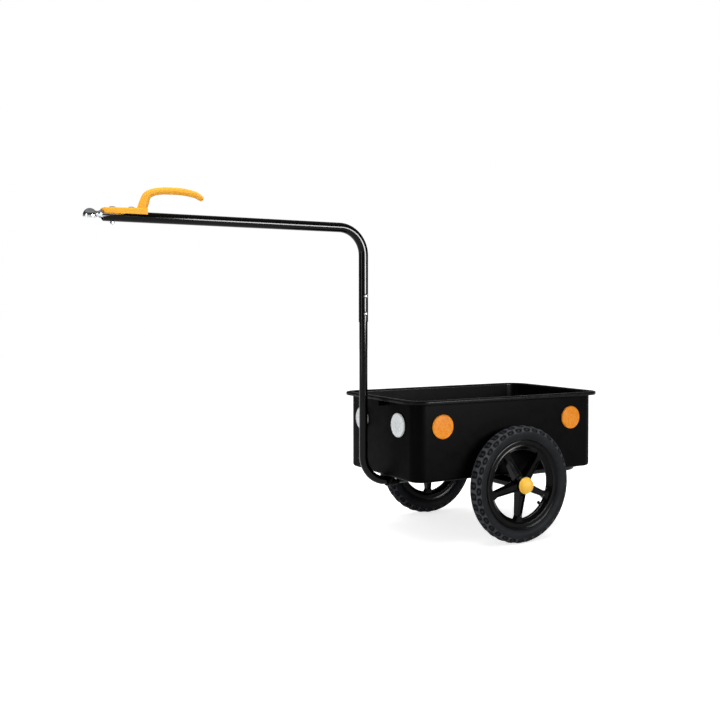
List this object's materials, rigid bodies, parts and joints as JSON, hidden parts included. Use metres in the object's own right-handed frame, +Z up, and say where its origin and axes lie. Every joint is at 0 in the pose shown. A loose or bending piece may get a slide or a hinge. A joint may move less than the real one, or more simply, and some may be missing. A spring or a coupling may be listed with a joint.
{
  "type": "cargo bike trailer",
  "caption": "Cargo trailer for a bicycle: open moulded tub on spoked wheels, bent tube drawbar to the seat post, ball coupler with sprung latch and carrying handle.",
  "frame": {"origin": "on the floor, midway between the wheels and in the middle of the trailer's overall length", "axes": "+X forward along the drawbar to the coupler, +Y to the trailer's left, +Z up; both wheels spin about Y"},
  "size_m": [1.5656, 0.594, 1.0151],
  "materials": {
    "black_plastic": "smooth moulded black, soft gloss",
    "wheel_plastic": "moulded black, gloss",
    "black_paint": "gloss black paint on steel tube",
    "tyre_rubber": "charcoal rubber, paler worn tread",
    "tube_rubber": "matt black rubber",
    "orange_plastic": "moulded orange, satin",
    "amber_lens": "prismatic amber lens",
    "clear_lens": "prismatic clear lens, silvery",
    "red_lens": "prismatic red lens",
    "chrome": "polished chrome plate",
    "zinc_steel": "bright zinc-plated steel",
    "nylon": "natural nylon"
  },
  "bodies": {
    "chassis": {"tub": "black_plastic", "front_clamp": "black_plastic", "axle_beam": "black_paint", "rear_loop": "black_paint", "drawbar_receiver": "black_paint", "drawbar_lower": "black_paint", "drawbar_upper": "black_paint", "handle": "orange_plastic", "reflector_left_front": "amber_lens", "reflector_left_rear": "amber_lens", "reflector_right_front": "amber_lens", "reflector_right_rear": "amber_lens", "reflector_front_left": "clear_lens", "reflector_front_right": "clear_lens", "reflector_rear_left": "red_lens", "reflector_rear_right": "red_lens", "coupler": "chrome", "latch_spring": "zinc_steel", "latch_pin": "zinc_steel", "tub_bolt_front_left": "zinc_steel", "tub_bolt_front_right": "zinc_steel", "tub_bolt_rear_left": "zinc_steel", "tub_bolt_rear_right": "zinc_steel", "tub_nut_front_left": "zinc_steel", "tub_nut_front_right": "zinc_steel", "tub_nut_rear_left": "zinc_steel", "tub_nut_rear_right": "zinc_steel", "drawbar_bolt_1": "zinc_steel", "drawbar_bolt_2": "zinc_steel", "drawbar_nut_1": "zinc_steel", "drawbar_nut_2": "zinc_steel", "receiver_bolt": "zinc_steel", "receiver_nut": "zinc_steel", "handle_bolt": "zinc_steel", "handle_nut": "zinc_steel", "handle_screw": "zinc_steel", "left_axle_stub": "zinc_steel", "left_axle_washer": "zinc_steel", "left_axle_nut": "zinc_steel", "right_axle_stub": "zinc_steel", "right_axle_washer": "zinc_steel", "right_axle_nut": "zinc_steel"},
    "left_wheel": {"left_wheel": "wheel_plastic", "left_tyre": "tyre_rubber", "left_inner_tube": "tube_rubber", "left_valve_cap": "black_plastic", "left_outer_bush": "nylon", "left_inner_bush": "nylon", "left_hub_cap": "orange_plastic"},
    "right_wheel": {"right_wheel": "wheel_plastic", "right_tyre": "tyre_rubber", "right_inner_tube": "tube_rubber", "right_valve_cap": "black_plastic", "right_outer_bush": "nylon", "right_inner_bush": "nylon", "right_hub_cap": "orange_plastic"},
    "latch": {"coupler_latch": "chrome"}
  },
  "joints": [
    {"name": "left_wheel_spin", "type": "hinge", "parent": "chassis", "child": "left_wheel", "pos_m": [-0.4228, 0.249, 0.174], "axis": [0, 1, 0], "continuous": true},
    {"name": "right_wheel_spin", "type": "hinge", "parent": "chassis", "child": "right_wheel", "pos_m": [-0.4228, -0.249, 0.174], "axis": [0, 1, 0], "continuous": true},
    {"name": "latch_hinge", "type": "hinge", "parent": "chassis", "child": "latch", "pos_m": [0.7477, 0, 0.9365], "axis": [0, 1, 0], "range_deg": [0, 18], "stiffness_Nm_per_rad": 0.05, "springref_deg": -17.19, "deforming": ["latch_spring"]}
  ]
}
